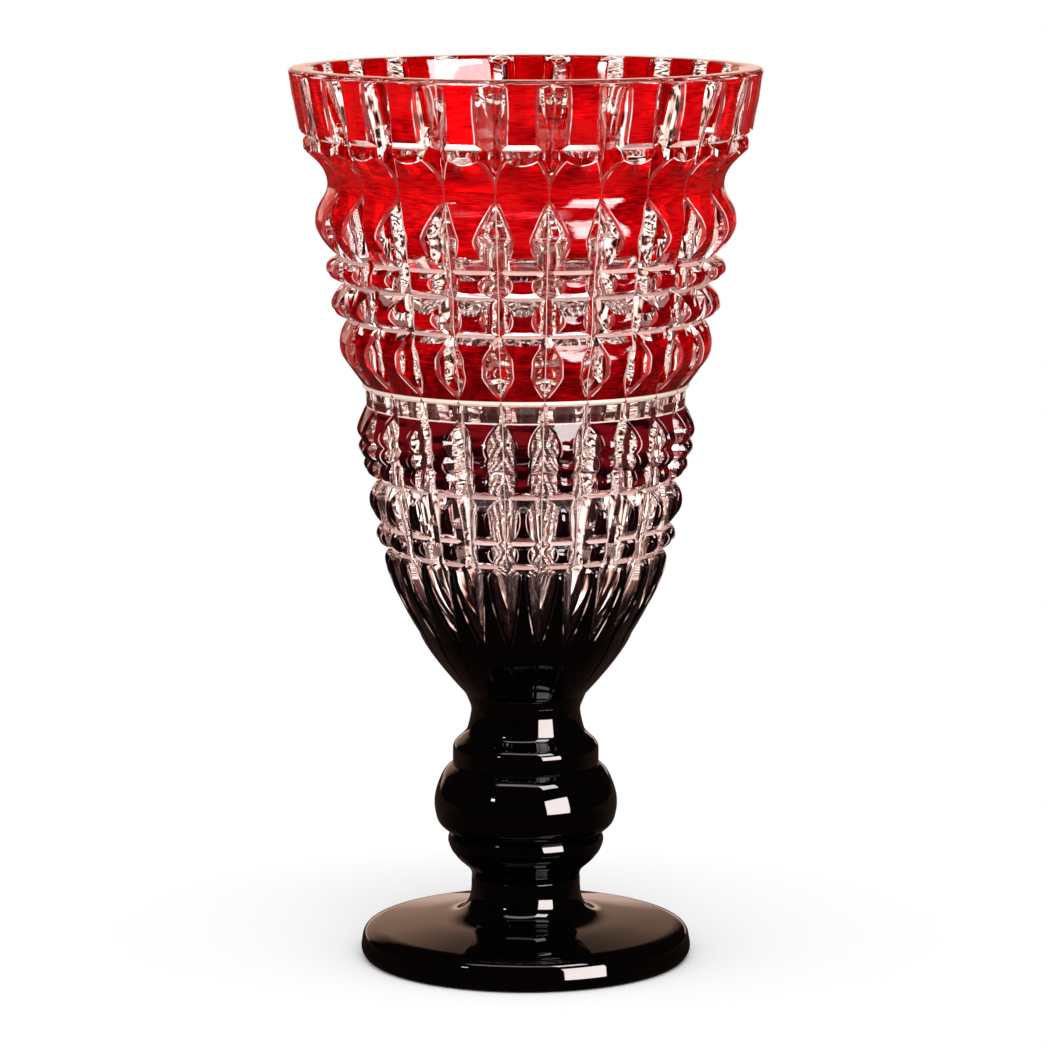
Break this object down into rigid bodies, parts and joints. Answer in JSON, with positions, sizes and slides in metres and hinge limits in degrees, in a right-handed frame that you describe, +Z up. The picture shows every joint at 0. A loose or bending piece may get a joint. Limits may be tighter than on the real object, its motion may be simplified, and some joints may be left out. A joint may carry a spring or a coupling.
{
  "type": "footed cut glass vase",
  "caption": "Tall footed vase in clear crystal cased with ruby and black glass, cut with vertical mitres and rings, on a black stem and foot.",
  "frame": {"origin": "centre of the foot's flat underside", "axes": "+Z up along the axis that the vase is turned about; the front in the picture faces -Y"},
  "size_m": [0.1598, 0.1598, 0.305],
  "materials": {
    "clear_crystal": "polished clear lead crystal with cut facets",
    "ruby_glass": "polished transparent ruby casing, about 1 mm thick",
    "black_glass": "polished opaque black glass"
  },
  "bodies": {
    "root": {"crystal_bowl": "clear_crystal", "ruby_waist_casing": "ruby_glass", "ruby_lower_casing": "ruby_glass", "rim_panel_01": "ruby_glass", "rim_panel_02": "ruby_glass", "rim_panel_03": "ruby_glass", "rim_panel_04": "ruby_glass", "rim_panel_05": "ruby_glass", "rim_panel_06": "ruby_glass", "rim_panel_07": "ruby_glass", "rim_panel_08": "ruby_glass", "rim_panel_09": "ruby_glass", "rim_panel_10": "ruby_glass", "rim_panel_11": "ruby_glass", "rim_panel_12": "ruby_glass", "rim_panel_13": "ruby_glass", "rim_panel_14": "ruby_glass", "rim_panel_15": "ruby_glass", "rim_panel_16": "ruby_glass", "rim_panel_17": "ruby_glass", "rim_panel_18": "ruby_glass", "rim_panel_19": "ruby_glass", "rim_panel_20": "ruby_glass", "rim_panel_21": "ruby_glass", "rim_panel_22": "ruby_glass", "rim_panel_23": "ruby_glass", "rim_panel_24": "ruby_glass", "black_casing": "black_glass", "stem_collar": "black_glass", "knop": "black_glass", "merese": "black_glass", "foot": "black_glass"}
  },
  "joints": []
}
